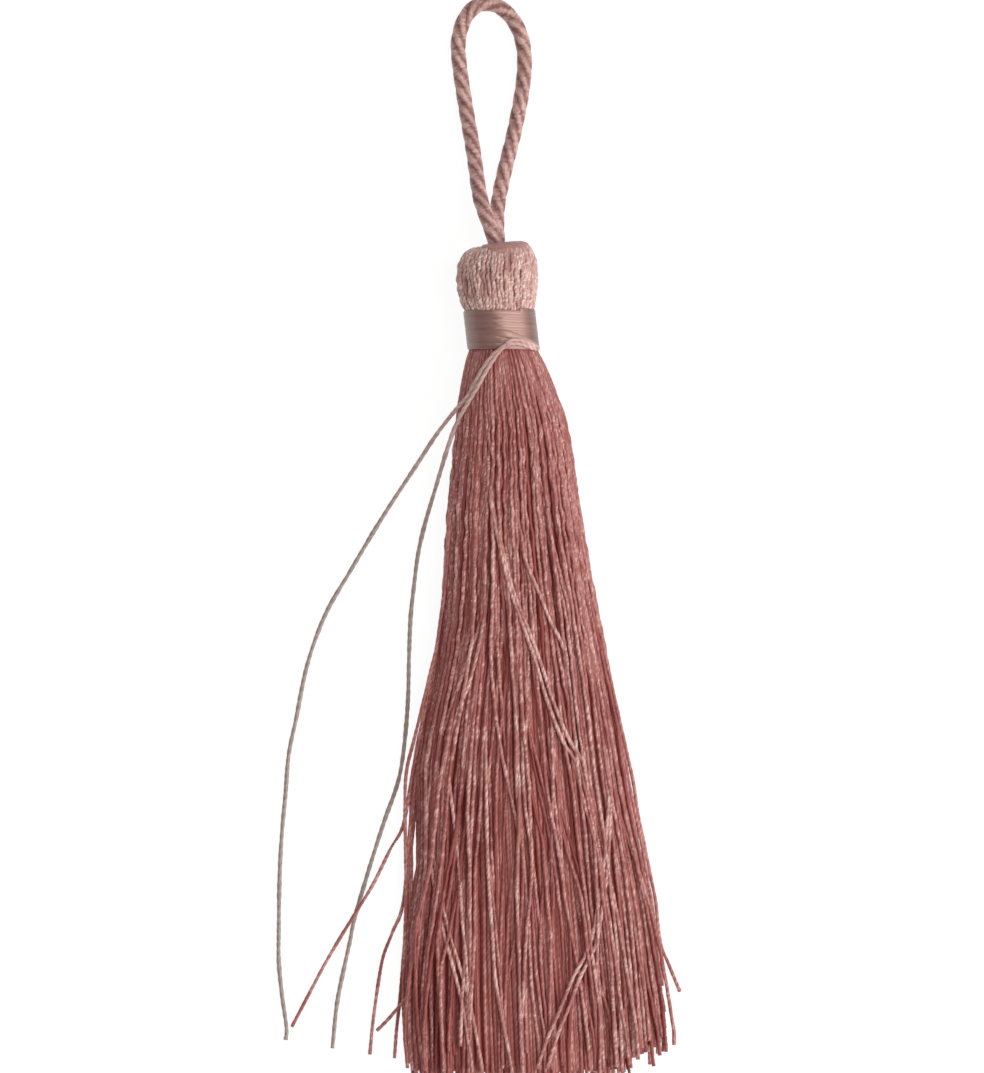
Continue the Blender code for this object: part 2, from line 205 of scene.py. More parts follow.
def unit(vectors):
    return vectors / np.linalg.norm(vectors, axis=-1, keepdims=True)


def smoothRoute(points, spacing, lowest=0.0, perGap=24):
    # Catmull-Rom curve through the points, b + ((c - a)t + (2a - 5b + 4c - d)t^2 + (3b - a - 3c + d)t^3) / 2,
    # read at even steps of its length and kept above a lowest height
    given = np.array(points, float)
    ends = np.vstack([2 * given[0] - given[1], given, 2 * given[-1] - given[-2]])
    a, b, c, d = ends[:-3, None], ends[1:-2, None], ends[2:-1, None], ends[3:, None]
    t = np.linspace(0, 1, perGap, endpoint=False)[None, :, None]
    fine = b + ((c - a) * t + (2 * a - 5 * b + 4 * c - d) * t**2 + (3 * b - a - 3 * c + d) * t**3) / 2
    fine = np.vstack([fine.reshape(-1, 3), given[-1]])
    route = evenSteps(fine, round(lengthAlong(fine[None])[0, -1] / spacing) + 1)
    route[:, 2] = np.maximum(route[:, 2], lowest)
    return route


def lengthAlong(lines):
    # running length of each line from its first point
    steps = np.linalg.norm(np.diff(lines, axis=1), axis=2)
    return np.concatenate([np.zeros((len(lines), 1)), np.cumsum(steps, axis=1)], axis=1)


def evenSteps(line, count):
    # a line read again at even steps of its length
    gone = lengthAlong(line[None])[0]
    goal = np.linspace(0, gone[-1], count)
    return np.stack([np.interp(goal, gone, line[:, k]) for k in range(3)], axis=1)


def pliedSection(plies, perPly, waist, roundness=1.3):
    # section of round plies, with a reach of waist + (1 - waist) |cos(plies * angle / 2)|^roundness
    angle = math.tau * np.arange(plies * perPly) / (plies * perPly)
    reach = waist + (1 - waist) * np.abs(np.cos(plies * angle / 2)) ** roundness
    return np.stack([np.cos(angle), np.sin(angle)], axis=1) * reach[:, None]


def sides(lines, up=(0.0, 0.0, 1.0)):
    # two directions across each line: side = run x up and upright = side x run
    run = unit(np.gradient(lines, axis=1))
    side = unit(np.cross(run, np.array(up)))
    return side, np.cross(side, run)


def carried(lines, section, scale, turn, up=(0.0, 0.0, 1.0)):
    # section point (p, q), turned by an angle, goes to line + scale * (p * side + q * upright)
    side, upright = sides(lines, up)
    c, s = np.cos(turn)[..., None], np.sin(turn)[..., None]
    p = (section[:, 0] * c - section[:, 1] * s) * scale[..., None]
    q = (section[:, 0] * s + section[:, 1] * c) * scale[..., None]
    return lines[:, :, None] + p[..., None] * side[:, :, None] + q[..., None] * upright[:, :, None]


def addThreads(name, places, gone, tone, finish):
    # Rings of points, (threads, rings, points round, 3), are joined by quads and closed by a face at each
    # end. The UV map runs round the thread in u, and along it in v in mm.
    threads, rings, around = places.shape[:3]
    index = np.arange(threads * rings * around).reshape(threads, rings, around)
    after = np.roll(index, -1, axis=2)
    quads = np.stack([index[:, :-1], index[:, 1:], after[:, 1:], after[:, :-1]], axis=-1).reshape(-1, 4)
    caps = np.concatenate([index[:, 0], index[:, -1, ::-1]])
    corners = np.concatenate([quads.ravel(), caps.ravel()])
    sizes = np.concatenate([np.full(len(quads), 4), np.full(len(caps), around)])
    starts = np.concatenate([[0], np.cumsum(sizes)[:-1]])
    mesh = bpy.data.meshes.new(name)
    mesh.vertices.add(places.size // 3)
    mesh.vertices.foreach_set("co", (places * mm).astype(np.float32).ravel())
    mesh.loops.add(len(corners))
    mesh.loops.foreach_set("vertex_index", corners.astype(np.int32))
    mesh.polygons.add(len(sizes))
    mesh.polygons.foreach_set("loop_start", starts.astype(np.int32))
    mesh.update(calc_edges=True)
    mesh.polygons.foreach_set("use_smooth", sizes == 4)
    u = np.broadcast_to(np.arange(around) / around, index.shape)
    v = np.broadcast_to(gone[..., None], index.shape)
    uQuad = np.stack([u[:, :-1], u[:, 1:], u[:, 1:] + 1 / around, u[:, :-1] + 1 / around], axis=-1)
    vQuad = np.stack([v[:, :-1], v[:, 1:], v[:, 1:], v[:, :-1]], axis=-1)
    uv = np.concatenate([np.stack([uQuad.ravel(), vQuad.ravel()], axis=1), capUv(u, v)])
    mesh.uv_layers.new(name="UVMap").data.foreach_set("uv", uv.astype(np.float32).ravel())
    shade = mesh.attributes.new("tone", "FLOAT", "POINT")
    shade.data.foreach_set("value", np.broadcast_to(tone[..., None], index.shape).astype(np.float32).ravel())
    mesh.materials.append(finish)
    mesh.validate()
    piece = bpy.data.objects.new(name, mesh)
    bpy.context.scene.collection.objects.link(piece)
    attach(piece, "root")
    print(name, threads, "threads,", 2 * len(quads) + len(caps) * (around - 2), "triangles")
    return piece


def capUv(u, v):
    # for the end faces: the first ring, and the last one the other way round
    first = np.stack([u[:, 0].ravel(), v[:, 0].ravel()], axis=1)
    last = np.stack([u[:, -1, ::-1].ravel(), v[:, -1, ::-1].ravel()], axis=1)
    return np.concatenate([first, last])


def rising(value, start, span):
    # 0 up to the start, and 1 from one span past it
    return np.clip((value - start) / span, 0, 1)


def slowWave(count, places, lengths, strengths, stretches=(0.8, 1.25)):
    # sum of sines with each thread's own phases and stretch; places is the way along the threads, or their y
    total = np.zeros(np.broadcast_shapes((count, 1), places.shape))
    for length, strength in zip(lengths, strengths):
        phase = dice.uniform(0, math.tau, (count, 1))
        stretch = dice.uniform(*stretches, (count, 1))
        total += strength * np.sin(math.tau * places / (length * stretch) + phase)
    return total


silk = {
    "light": colour(0.70, 0.41, 0.375), "deep": colour(0.30, 0.082, 0.075),
    "roughness": 0.25, "dullRoughness": 0.5,
    "crests": 0.06,  # how much lighter a ply is on its crest than in its groove: painted highlight and shade
    "sharp": 1.0,  # power that narrows the crest
    "screw": 0.0,  # plies passed in each mm, on a plain tube that looks twisted
    "fibres": 12, "fibreScrew": 1.6, "fibreLight": 0.07,  # across a ply, passed in a lay, how much lighter
    "patches": 0.2, "patchLight": 0.16,  # gleaming patches in each mm, painted lighter as sheen
    "specks": (1.1, 1.15),  # beads round the thread, and in each mm along it
    "beadHighlight": 0.85,  # strength of the painted highlight on the pearly beads
    "beadCrest": (0.65, 0.35),  # share that shows only on a crest, and the rest
    "ownNoise": (40.0, 31.0),  # how far the tone shifts the noise of beads and patches
    "toneCut": (2.5, 1.5), "patchCut": (3.6, 1.2), "beadCut": (8.0, 3.4),  # slope and fall
    "ridge": 0.4, "relief": (0.25, 0.6),  # heights of plies, and of fibres and beads, in the bump
    "bump": (0.5, 0.00005),  # strength, and distance in metres
    "gloss": (0.8, 0.4),  # of beads and patches
    "depth": (0.45, 1.15),  # powers of the tone for red, and for green and blue
    "glow": (1.0, 0.55, 0.48),  # how far each colour of light spreads inside
    "through": colour(0.024, 0.0035, 0.0030),  # painted glow that stands for light through loose threads, so that no gap is black
}
# painted light: a paler, less red copy of the silk for the head, where highlights dominate
foldSilk = dict(silk, light=colour(0.92, 0.68, 0.625), deep=colour(0.46, 0.25, 0.225), crests=0.14, ridge=1.0,
                beadHighlight=0.7, depth=(0.9, 1.3), glow=(1.0, 0.7, 0.6), through=colour(0.010, 0.004, 0.003))
# painted shade: a copy of the silk for the threads inside the bundle, its deep colour a lighter red, so that
# the shade in the gaps reads deep red
innerSilk = dict(silk, light=colour(0.68, 0.37, 0.335), deep=colour(0.35, 0.097, 0.087), beadHighlight=0.8, ridge=0.8,
                 crests=0.15, screw=1.05)
# painted shade: a deeper copy of the head's silk for the core, which shows on the smooth fold and in the
# grooves
bandSilk = dict(foldSilk, light=colour(0.66, 0.38, 0.345))


def threadFinish(name, look, plies, lay):
    # Plied silk with fine fibres. Painted highlights make it lighter on the crests and in the beads and
    # patches that two noises pick, which are also glossier. A low tone turns the pink deep red.
    finish, wire = newFinish(name)
    around, along, tone = threadPlace(wire)
    crest = (around * plies + along * look["screw"]).wave() ** look["sharp"]
    fibre = (around * (plies * look["fibres"]) + along * (look["fibreScrew"] / lay)).wave()
    across, lengthwise = look["specks"]
    beadStep, patchStep = look["ownNoise"]
    spot = wire.node("CombineXYZ", {}, {"X": around * across, "Y": along * lengthwise, "Z": tone * beadStep})
    speck = wire.node("TexNoise", {}, {"Vector": spot, "Scale": 1.0, "Detail": 2.0})
    stretch = wire.node("CombineXYZ", {}, {"X": along * look["patches"], "Y": tone * patchStep})
    gleam = wire.node("TexNoise", {}, {"Vector": stretch, "Scale": 1.0, "Detail": 1.0})
    patch = tone.cutOut(look["toneCut"]) * gleam.cutOut(look["patchCut"])
    onCrest, always = look["beadCrest"]
    bead = speck.cutOut(look["beadCut"]) * (crest * onCrest + always) * patch
    # painted highlights: lighter on the crests, in the gleaming patches and in the beads
    lit = crest * look["crests"] + fibre * look["fibreLight"] + patch * look["patchLight"]
    pink = (lit + bead * look["beadHighlight"]).within().blend(look["deep"], look["light"])
    fibreHeight, beadHeight = look["relief"]
    height = fibre * fibreHeight + crest * look["ridge"] + bead * beadHeight
    beadGloss, patchGloss = look["gloss"]
    gloss = (bead * beadGloss + patch * patchGloss).within() * (look["dullRoughness"] - look["roughness"])
    closeFinish(wire, look, pink, tone, height, {
        "Roughness": look["dullRoughness"] - gloss,
        "IOR": 1.55, "Specular IOR Level": 0.6, "Specular Tint": colour(1.0, 0.74, 0.68),
        "Subsurface Weight": 0.2, "Subsurface Radius": look["glow"], "Subsurface Scale": 0.0005,
        # painted glow
        "Emission Color": look["through"], "Emission Strength": 1.0,
    })
    return finish


def threadPlace(wire):
    # how far round the thread, 0 to 1, how far along it, in mm, and its tone there
    place = wire.node("UVMap", {"uv_map": "UVMap"}, {})
    around = wire.node("SeparateXYZ", {}, {"Vector": place})
    along = Wire(wire.tree, around.socket.node.outputs["Y"])
    return around, along, wire.node("Attribute", {"attribute_name": "tone"}, {}, output=2)


def toned(wire, pink, tone, depth):
    # red * tone^first power, green and blue * tone^second power
    cool = tone ** depth[1]
    factor = wire.node("CombineColor", {}, {0: tone ** depth[0], 1: cool, 2: cool})
    settings = {"data_type": "RGBA", "blend_type": "MULTIPLY"}
    return wire.node("Mix", settings, {0: 1.0, 6: pink, 7: factor}, output=2)


skirt = {
    "width": 0.54, "lay": 1.9,  # of a thread, and one turn of its two plies
    "waist": 0.86,  # share of its width in the groove between them
    "length": 95.0,
    "ringStep": 0.34, "ringStepMore": 0.03,  # along a thread, and more in each inner layer
    "neckY": -8.2, "cutY": -100.0,  # start inside the binding, and end
    "axisHeight": 4.8,
    "layers": 3, "layerStep": 0.06,  # each is so much smaller than the last
    "topThreads": 72,  # in the outermost layer
    "scatter": 1.3,  # of the cut ends along y
    "shortShare": 0.12, "shortBy": (1, 5),  # some threads are cut shorter
    "drift": 0.09, "lowDrift": 0.11,  # across the bundle in half widths, and more low down
    "free": (14, 70), "low": (66, 32),  # depth and span over which threads come free, and drift more
    "calm": (28, 25), "calmEven": 45.0,  # the same for the calmer outline inside, and its evening in mm
}

locks = {  # threads that lie together; depths are mm below y = 0
    "count": 34, "fewer": 3,  # in the outermost layer, and fewer in each inner one
    "wide": 13,  # wider locks near the neck
    "pull": 0.55, "widePull": 0.9,  # how far threads lean to the middle, and its share in wide locks
    "depths": (30, 140), "wideDepths": (12, 75),  # between which they do
    "uneven": 0.45, "drift": 0.6,  # of the middles, in shares of a lock
    "driftOver": 55, "leanOver": 12, "endOver": 25,  # mm over which these come about
    "looseWaves": (35, 80), "leastPull": 0.4,  # mm from one loosening to the next
}

sheaves = {  # neighbouring threads that stray over the others together
    "share": (0.65, 0.5, 0.5),  # of the threads in each layer
    "newOne": 0.45,  # chance that a thread starts the next sheaf
    "outwards": 0.25,
    "start": (12, 52, 3),  # depth of the first, range, and scatter inside a sheaf
    "bend": (25, 30),  # mm over which it strays, and range
    "amount": (0.08, 0.38, 0.025),  # in half widths: least, range and scatter
    "lift": 0.35,
}

lifts = {  # mm that a thread lies above its place in the bundle
    "lock": (0.12, 0.15), "wideLock": (0.24, 0.14),  # in the middle of a lock, and in the lock's waves
    "down": 0.2, "from": (12, 20),  # less this, from this depth on over a span
    "own": (-0.08, 0.15),  # mean and spread
    "under": 0.2, "underShare": 0.5,  # at the neck some threads lie lower,
    "underTo": (16, 48), "underOver": 9, "underLeft": 0.55,  # and come up at these depths
}

waves = {  # wave lengths and strengths in mm
    "sway": ([110, 45, 16], [0.50, 0.22, 0.06]),
    "crinkle": ([4.8, 2.7], [0.07, 0.06]),
    "upAndDown": ([75, 31, 13], [0.22, 0.14, 0.04]),
    "crinkleUp": ([5.7, 3.1], [0.06, 0.05]),
    "crinkled": ([12.0, 20.0, 42.0, 60.0], [0.0, 1.0, 0.6, 0.3]),  # share of the crinkle at these depths
    "lock": ([46, 90], [0.5, 0.5]),
    "roll": ([23, 9], [0.5, 0.25]),
    "swell": ([11, 4.5], [0.06, 0.05]),
    "tone": ([30, 11], [0.06, 0.05]),
}

# change of tone from thread to thread; painted light and shade for each mm of lift, painted shade in each
# inner layer, and painted light at the lower right
tones = {
    "spread": 0.12, "lifted": 0.6, "layer": 0.11, "paintedLight": 0.08, "range": (0.45, 1.25),
    "palerX": (3, 12), "palerDepth": (62, 30),  # start and span
    "byDepth": ([8.0, 12.0, 18.0, 34.0], [1.02, 0.98, 0.95, 1.0]),
}

lining = {  # plain threads that fill the bundle
    "rows": [(0.88, 86), (0.78, 44)],  # share of the bundle, and threads
    "fullRow": 86,  # threads that fill a row; fewer are thickened
    "tableThreads": 74, "tableReach": 0.985, "tableUp": 0.02, "tableThicker": 1.35,
    "rings": 64, "locks": 60, "looseness": 0.12,
    "lay": 1000.0,  # so long that the tubes stay untwisted
    "tone": (0.82, 0.10),  # mean and spread; the mean is painted shade, deeper than the outer threads
    # the table row: less painted shade at its edges, where it shows at the sides, and paler towards the neck;
    # painted light at the lower right
    "edgeTone": 0.2, "neckTone": 0.15, "neckY": (-60, 20), "paintedLight": 0.4,
}
# y, left and right edge, height, how far the bundle has settled, and share of a thread's width
outline = np.array([
    (-8.2, -3.1, 4.3, 7.4, 0, 0.62), (-9.3, -3.85, 5.5, 8.9, 0, 0.70),
    (-12.3, -4.5, 6.9, 9.2, 0.05, 0.78), (-15.6, -5.15, 8.2, 9.3, 0.15, 0.84),
    (-18.2, -5.4, 9.2, 9.4, 0.30, 0.88), (-23.4, -5.9, 10.1, 9.3, 0.50, 0.93),
    (-28.6, -6.5, 10.8, 9.1, 0.70, 0.97), (-36.4, -7.05, 12.1, 8.6, 0.85, 1),
    (-42.9, -7.4, 13.4, 8.1, 0.95, 1), (-50.7, -8.4, 14.9, 7.5, 1, 1),
    (-57.2, -10, 16, 7.1, 1, 1), (-63.7, -11, 17, 6.7, 1, 1),
    (-69.3, -10.6, 17.9, 6.4, 1, 1), (-76, -10.5, 19.2, 6.1, 1, 1),
    (-82, -11.5, 20.2, 6, 1, 1), (-87.1, -12, 20.7, 5.9, 1, 1),
    (-93.6, -12.2, 21.6, 5.8, 1, 1), (-98.8, -11.9, 22.2, 5.8, 1, 1),
    (-104, -11.3, 22.4, 5.7, 1, 1),
])
cutLine = np.array([  # x and y of the cut ends
    (-12.2, -101.3), (-9.5, -103), (13, -103.4), (16, -101.6), (20, -99.5), (22, -96.2),
])


def readOutline(y, even=5.0):
    # columns of the outline at y, evened over a length in mm
    margin, points, step = 6.0, 600, 0.18
    fine = np.linspace(outline[0, 0] + margin, outline[-1, 0] - margin, points)
    window = np.hanning(2 * round(even / (2 * step)) + 3)[1:-1]
    columns = []
    for k in range(1, outline.shape[1]):
        straight = np.interp(-fine, -outline[:, 0], outline[:, k])
        padded = np.pad(straight, len(window) // 2, mode="edge")
        columns.append(np.interp(-y, -fine, np.convolve(padded, window / window.sum(), mode="valid")))
    return columns


def inBundle(across, up, y):
    # A place in the half circle of radius 1 goes to the round section at the neck, z = axis + H/2 (2 up -
    # half circle), and to the flat one on the table, z = H up, blended as the bundle settles. Away from its
    # edges the outline is calmer.
    left, right, height, settled, share = readOutline(y)
    width = skirt["width"] * share
    x = (left + right) / 2 + ((right - left) / 2 - width / 2) * across
    calmLeft, calmRight = readOutline(y, skirt["calmEven"])[:2]
    calm = (calmLeft + calmRight) / 2 + ((calmRight - calmLeft) / 2 - width / 2) * across
    x = x + (calm - x) * (1 - across**4) * rising(-y, *skirt["calm"])
    halfCircle = np.sqrt(np.clip(1 - across**2, 0, 1))
    roundZ = skirt["axisHeight"] + (height - width) / 2 * (2 * up - halfCircle)
    flatZ = width / 2 + (height - width) * up
    return x, roundZ + (flatZ - roundZ) * settled, width


def topHeight(x, y):
    # z of the skirt's upper side
    left, right = readOutline(y)[:2]
    across = np.clip((x - (left + right) / 2) / ((right - left) / 2), -1, 1)
    return inBundle(across, np.sqrt(1 - across**2), y)[1]


def drawnTogether(across, y, count, strength, start, end):
    # Threads lean to the middle of their lock between two depths, and the lock drifts. Returns the new place,
    # how far it is from that middle in half widths of a lock, and the lock's rise and fall.
    evenly = np.linspace(-0.98, 0.98, count)
    middles = evenly + dice.uniform(-locks["uneven"], locks["uneven"], count) / count
    own = np.abs(across[:, :1] - middles).argmin(axis=1)
    middle = middles[own][:, None]
    drift = dice.normal(0, locks["drift"], count)[own][:, None] / count
    drift = drift * rising(-y, start, locks["driftOver"]) * (1 - middle**2)
    drift = drift * (strength > 0)
    loose = 0.5 + 0.5 * np.sin(math.tau * y / dice.uniform(*locks["looseWaves"], count)[own][:, None]
                               + dice.uniform(0, 6.28, count)[own][:, None])
    pull = strength * rising(-y, start, locks["leanOver"]) * rising(y, -end, locks["endOver"])
    pull = pull * (locks["leastPull"] + (1 - locks["leastPull"]) * loose)
    depth = slowWave(count, y[:1], *waves["lock"])[own]
    return across + drift + pull * (middle - across), (across - middle) * count / 2, depth


def crown(offset):
    # 1 in the middle of a lock, and below 0 past its edges
    return 1 - np.clip(offset, -1.2, 1.2) ** 2


def threadLines(across, up, rings, lockCount, strength, looseness, strayShare=0.0):
    # Centre lines of threads from the neck to their cut ends, with their widths and lifts. Some stray over
    # their neighbours in sheaves, mostly outwards, and half of them lie lower at the neck.
    count = len(across)
    each = (count, 1)
    t = np.linspace(0, 1, rings)[None]
    xEnd = inBundle(across, up, np.full(count, skirt["cutY"]))[0]
    end = np.interp(xEnd, cutLine[:, 0], cutLine[:, 1]) + skirt["scatter"] * dice.uniform(-1, 1, count)
    short = dice.uniform(0, 1, count) < skirt["shortShare"]
    end = end + looseness * short * dice.uniform(*skirt["shortBy"], count)
    y = skirt["neckY"] + (end[:, None] - skirt["neckY"]) * t
    free = looseness * rising(-y, *skirt["free"])

    sheaf = np.cumsum(dice.uniform(0, 1, count) < sheaves["newOne"])
    chance, side, start, amount = dice.uniform(0, 1, (4, sheaf[-1] + 1))[:, sheaf, None]
    stray = (chance < strayShare) * np.where(side < 0.5 + sheaves["outwards"] * across[:, None], 1, -1)
    first, later, scatter = sheaves["start"]
    shortest, longer = sheaves["bend"]
    start = first + later * start + dice.uniform(-scatter, scatter, each)
    bend = rising(-y, start, shortest + longer * side)
    least, more, scatter = sheaves["amount"]
    amount = least + more * amount + scatter * dice.normal(0, 1, each)
    drift = free * skirt["drift"] * dice.normal(0, 1, each) + stray * bend * amount
    drift = drift + looseness * skirt["lowDrift"] * dice.normal(0, 1, each) * rising(-y, *skirt["low"])
    placed = across[:, None] + drift * (1 - across[:, None] ** 2)

    widePull = strength * locks["widePull"]
    gathered, wideOffset, wideDepth = drawnTogether(placed, y, locks["wide"], widePull, *locks["wideDepths"])
    gathered, offset, depth = drawnTogether(gathered, y, lockCount, strength, *locks["depths"])
    gathered = np.where(stray == 0, gathered, placed)
    x, z, width = inBundle(gathered, up[:, None], y)
    inside = 1 - 0.8 * np.abs(across[:, None]) ** 3
    x = x + free * inside * slowWave(count, y, *waves["sway"])
    crinkle = looseness * np.interp(-y, *waves["crinkled"])
    x = x + crinkle * slowWave(count, y, *waves["crinkle"])

    inLock, ofLock = lifts["lock"]
    inWide, ofWide = lifts["wideLock"]
    lift = inLock * crown(offset) + ofLock * depth
    lift = lift + inWide * crown(wideOffset) + ofWide * wideDepth - lifts["down"]
    lift = lift + slowWave(count, y, *waves["upAndDown"]) + dice.normal(*lifts["own"], each)
    lift = lift + sheaves["lift"] * np.abs(stray) * bend
    under = dice.uniform(0, 1, each) < lifts["underShare"]
    risen = (y + dice.uniform(*lifts["underTo"], each)) / lifts["underOver"]
    under = under * np.clip(risen, lifts["underLeft"], 1)
    lift = looseness * (rising(-y, *lifts["from"]) * inside * lift - lifts["under"] * under)
    lift = lift + crinkle * slowWave(count, y, *waves["crinkleUp"])
    return np.stack([x, y, np.maximum(z + lift, width / 2)], axis=-1), width, lift


def twisted(lines, width, plies, perPly, waist, lay):
    # round plies that turn once in every lay, against the loop cord's twist, and swell and thin a little
    gone = lengthAlong(lines)
    phase = dice.uniform(0, math.tau, (len(lines), 1))
    turn = phase - math.tau * (gone + slowWave(len(lines), gone, *waves["roll"])) / lay
    width = width * (1 + slowWave(len(lines), gone, *waves["swell"]))
    return carried(lines, pliedSection(plies, perPly, waist), width / 2, turn), gone


def paintedShadeAndLight(x, y, paintedLight):
    # painted shade, deepest below the binding, where the threads are close, and painted light where they open
    # at the lower right
    right, low = rising(x, *tones["palerX"]), rising(-y, *tones["palerDepth"])
    return np.interp(-y, *tones["byDepth"]) + paintedLight * right * low


def addSkirt(finish):
    for layer in range(skirt["layers"]):
        share = 1 - layer * skirt["layerStep"]
        count = round(skirt["topThreads"] * share)
        rings = round(skirt["length"] / (skirt["ringStep"] + skirt["ringStepMore"] * layer))
        angle = math.pi * (np.arange(count) + 0.5 + dice.uniform(-0.3, 0.3, count)) / count
        lockCount = locks["count"] - locks["fewer"] * layer
        lines, width, lift = threadLines(share * np.cos(angle), share * np.sin(angle), rings, lockCount,
                                         locks["pull"], 1.0, sheaves["share"][layer])
        places, gone = twisted(lines, width, 2, 3, skirt["waist"], skirt["lay"])
        tone = dice.normal(1.0, tones["spread"], (count, 1)) + slowWave(count, lines[..., 1], *waves["tone"])
        # painted light and shade: paler for a thread that lies higher, deeper for one that lies lower and in
        # each inner layer
        tone = tone + tones["lifted"] * np.clip(lift, -0.6, 0.4) - tones["layer"] * layer
        tone = np.clip(tone, *tones["range"]) * paintedShadeAndLight(lines[..., 0], lines[..., 1], tones["paintedLight"])
        for part, half in enumerate(np.array_split(np.arange(count), 2)):
            name = f"skirt_threads_{layer + 1}_{'right' if part == 0 else 'left'}"
            piece = addThreads(name, places[half], gone[half], tone[half], finish)
            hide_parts("head_and_skirt")


def addSkirtCore(finish):
    # rows inside the twisted layers, so that a gap shows thread painted deep red for the shade inside the
    # bundle, and one row on the table
    rows = []
    for share, count in lining["rows"]:
        angle = math.pi * (np.arange(count) + 0.5) / count
        rows.append((share * np.cos(angle), share * np.sin(angle), lining["fullRow"] / count))
    count = lining["tableThreads"]
    across = lining["tableReach"] * (2 * (np.arange(count) + dice.uniform(0.4, 0.6, count)) / count - 1)
    rows.append((across, np.full(count, lining["tableUp"]), lining["tableThicker"]))
    for row, (across, up, thicker) in enumerate(rows):
        lines, width = threadLines(across, up, lining["rings"], lining["locks"], 0.0, lining["looseness"])[:2]
        places, gone = twisted(lines, width * thicker, 1, 5, 1.0, lining["lay"])
        low = up < 0.1
        mean, spread = lining["tone"]
        # painted shade, less at the table row's edges, paler towards the neck, and painted light at the lower
        # right
        tone = mean + lining["edgeTone"] * low * np.abs(across) ** 6 + dice.normal(0, spread, len(across))
        tone = tone[:, None] + lining["neckTone"] * low[:, None] * rising(lines[..., 1], *lining["neckY"])
        tone = tone * paintedShadeAndLight(lines[..., 0], lines[..., 1], lining["paintedLight"])
        piece = addThreads(f"skirt_core_{row + 1}", places, gone, tone, finish)
        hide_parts("head_and_skirt")


crossings = {  # x and y of each thread that lies across the others
    "lift": 0.30,  # above the skirt
    "rise": (-1.8, -0.4),  # of the first two points, and of the last two
    "goesIn": -90,  # where a thread that ends above this y goes in again
    "doubled": [(0, 1.0), (1, -1.0), (4, 1.0)],  # route and side of a second thread beside it
    "apart": 1.3, "spacing": 0.5, "length": 60.0, "tone": 1.24,
    "routes": [
        [(11.5, -50), (13.6, -58), (14.5, -66.3), (14.3, -70.5), (13.7, -77.6), (12.5, -84.6),
         (11.5, -87.6), (9.8, -90.7), (8.1, -94.9), (6.6, -98.3), (5.2, -102.4)],
        [(-5.6, -50), (-7.6, -58), (-8.3, -65), (-8.6, -70.3), (-8.1, -75.7), (-6.5, -83.6),
         (-5.1, -88.4), (-3.5, -94.1), (-2.2, -100.8), (-1.9, -103)],
        [(-5, -52), (-6.3, -60), (-6.2, -65), (-5.4, -71.6), (-4.8, -78.3), (-4.5, -83.2),
         (-4, -88.4), (-3.6, -96)],
        [(-1.2, -50), (-1.5, -58), (-1.4, -65), (-1.2, -75.7), (-0.6, -85), (-0.1, -91.5),
         (1.4, -99.5), (2, -103)],
        [(-0.3, -20), (-0.6, -24.5), (-0.8, -28.6), (0.1, -33.3), (0.9, -37), (1.8, -40.6),
         (3.6, -45.5), (5.2, -50.2), (6.2, -53.7), (7.4, -57.1), (8.7, -60.2), (10.1, -62.5),
         (11, -66.5), (11.2, -72)],
        [(1.8, -27), (3, -32), (3.7, -36.4), (5.5, -40.8), (7, -44.5), (8.3, -47), (9.6, -51),
         (10.4, -56)],
        [(-0.9, -36), (-1.4, -41.6), (-2.2, -46.8), (-3.5, -52), (-4.8, -55.3), (-5.9, -59.2),
         (-6.9, -63.1), (-7.7, -67.6), (-8.2, -74)],
        [(-0.8, -33), (-1.9, -43), (-3.8, -49.4), (-5.6, -54.6), (-7.4, -60), (-8.6, -66)],
        [(17.4, -88), (17.1, -92.5), (16.2, -96.4), (15.4, -100.6)],
        [(-7.8, -94), (-9.2, -98), (-10.4, -102.2)],
    ],
}

